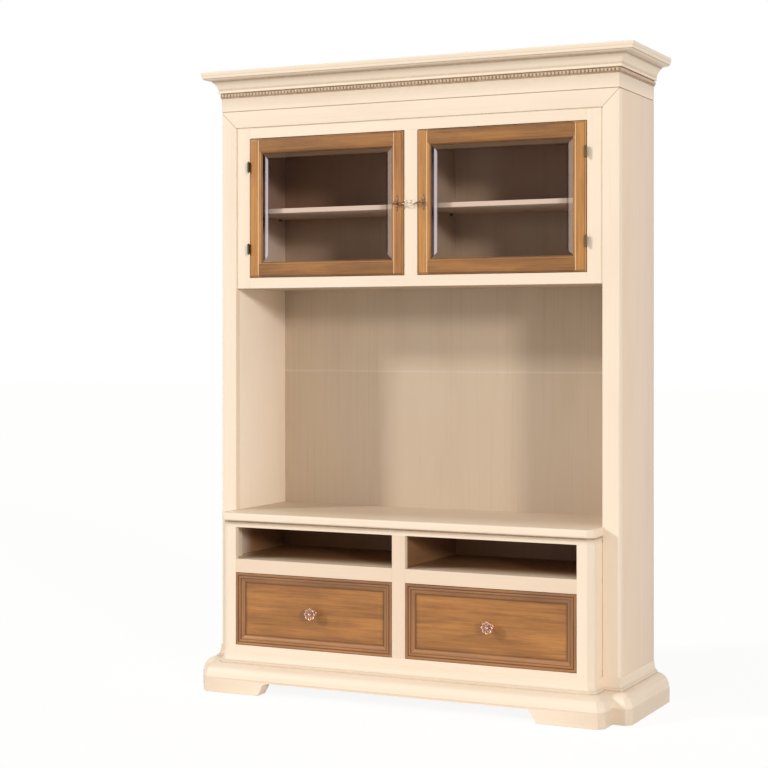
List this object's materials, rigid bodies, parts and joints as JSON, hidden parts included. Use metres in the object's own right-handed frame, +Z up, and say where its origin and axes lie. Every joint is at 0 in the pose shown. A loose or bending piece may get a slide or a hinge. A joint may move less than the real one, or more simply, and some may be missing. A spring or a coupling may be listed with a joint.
{
  "type": "entertainment wall unit",
  "caption": "Tall cream lacquered wall unit with a deep cornice, glazed walnut doors above an open niche, a ledge with open bays and walnut drawers below, and a moulded plinth.",
  "frame": {"origin": "centre of the footprint's bounding box, on the floor", "axes": "+X to the right seen from the front, +Y to the back, +Z up; the front faces -Y"},
  "size_m": [1.688, 0.544, 2.291],
  "materials": {
    "lacquer": "cream lacquer, satin, lightly brushed",
    "lacquer_inside": "cream lacquer, matt, inside faces",
    "walnut": "walnut veneer and mouldings, satin varnish",
    "drawer_wood": "plain light wood, unvarnished",
    "glass": "clear glass with a bevelled edge",
    "aged_metal": "aged bronze, worn edges",
    "antique_silver": "antique silver, worn"
  },
  "bodies": {
    "carcass": {"base_divider": "lacquer_inside", "base_floor": "lacquer_inside", "base_mullion": "lacquer", "base_rail_bottom": "lacquer", "base_rail_mid": "lacquer", "base_rail_top": "lacquer", "base_stile_left": "lacquer", "base_stile_right": "lacquer", "bay_deck": "lacquer_inside", "cabinet_divider": "lacquer_inside", "cabinet_floor": "lacquer", "cabinet_shelf_left": "lacquer_inside", "cabinet_shelf_right": "lacquer_inside", "cornice_front": "lacquer", "cornice_left": "lacquer", "cornice_right": "lacquer", "dentil_strip": "lacquer", "face_mullion": "lacquer", "face_rail_bottom": "lacquer", "face_rail_top": "lacquer", "face_stile_left": "lacquer", "face_stile_right": "lacquer", "hinge_left_lower": "aged_metal", "hinge_left_upper": "aged_metal", "hinge_right_lower": "aged_metal", "hinge_right_upper": "aged_metal", "ledge_board": "lacquer", "lining_left": "lacquer_inside", "lining_right": "lacquer_inside", "lower_back": "lacquer_inside", "plinth_front": "lacquer", "plinth_left": "lacquer", "plinth_right": "lacquer", "post_left": "lacquer", "post_right": "lacquer", "side_panel_left": "lacquer", "side_panel_right": "lacquer", "surround_rail": "lacquer", "top_panel": "lacquer_inside", "upper_back": "lacquer_inside"},
    "door_left": {"door_left_inner_stile": "walnut", "door_left_outer_stile": "walnut", "door_left_top_rail": "walnut", "door_left_bottom_rail": "walnut", "door_left_glass": "glass", "door_left_escutcheon": "aged_metal"},
    "latch_left": {"door_left_latch": "aged_metal"},
    "drawer_left": {"drawer_left_front": "walnut", "drawer_left_box": "drawer_wood", "drawer_left_knob": "antique_silver"},
    "door_right": {"door_right_inner_stile": "walnut", "door_right_outer_stile": "walnut", "door_right_top_rail": "walnut", "door_right_bottom_rail": "walnut", "door_right_glass": "glass", "door_right_escutcheon": "aged_metal"},
    "latch_right": {"door_right_latch": "aged_metal"},
    "drawer_right": {"drawer_right_front": "walnut", "drawer_right_box": "drawer_wood", "drawer_right_knob": "antique_silver"}
  },
  "joints": [
    {"name": "door_left_hinge", "type": "hinge", "parent": "carcass", "child": "door_left", "pos_m": [-0.6614, -0.1211, 1.7795], "axis": [0, 0, -1], "range_deg": [0, 105]},
    {"name": "latch_left_turn", "type": "hinge", "parent": "door_left", "child": "latch_left", "pos_m": [-0.0525, -0.116, 1.7795], "axis": [0, 1, 0], "range_deg": [0, 90]},
    {"name": "drawer_left_slide", "type": "slide", "parent": "carcass", "child": "drawer_left", "axis": [0, -1, 0], "range_m": [0, 0.32]},
    {"name": "door_right_hinge", "type": "hinge", "parent": "carcass", "child": "door_right", "pos_m": [0.6614, -0.1211, 1.7795], "axis": [0, 0, 1], "range_deg": [0, 105]},
    {"name": "latch_right_turn", "type": "hinge", "parent": "door_right", "child": "latch_right", "pos_m": [0.0525, -0.116, 1.7795], "axis": [0, -1, 0], "range_deg": [0, 90]},
    {"name": "drawer_right_slide", "type": "slide", "parent": "carcass", "child": "drawer_right", "axis": [0, -1, 0], "range_m": [0, 0.32]}
  ]
}
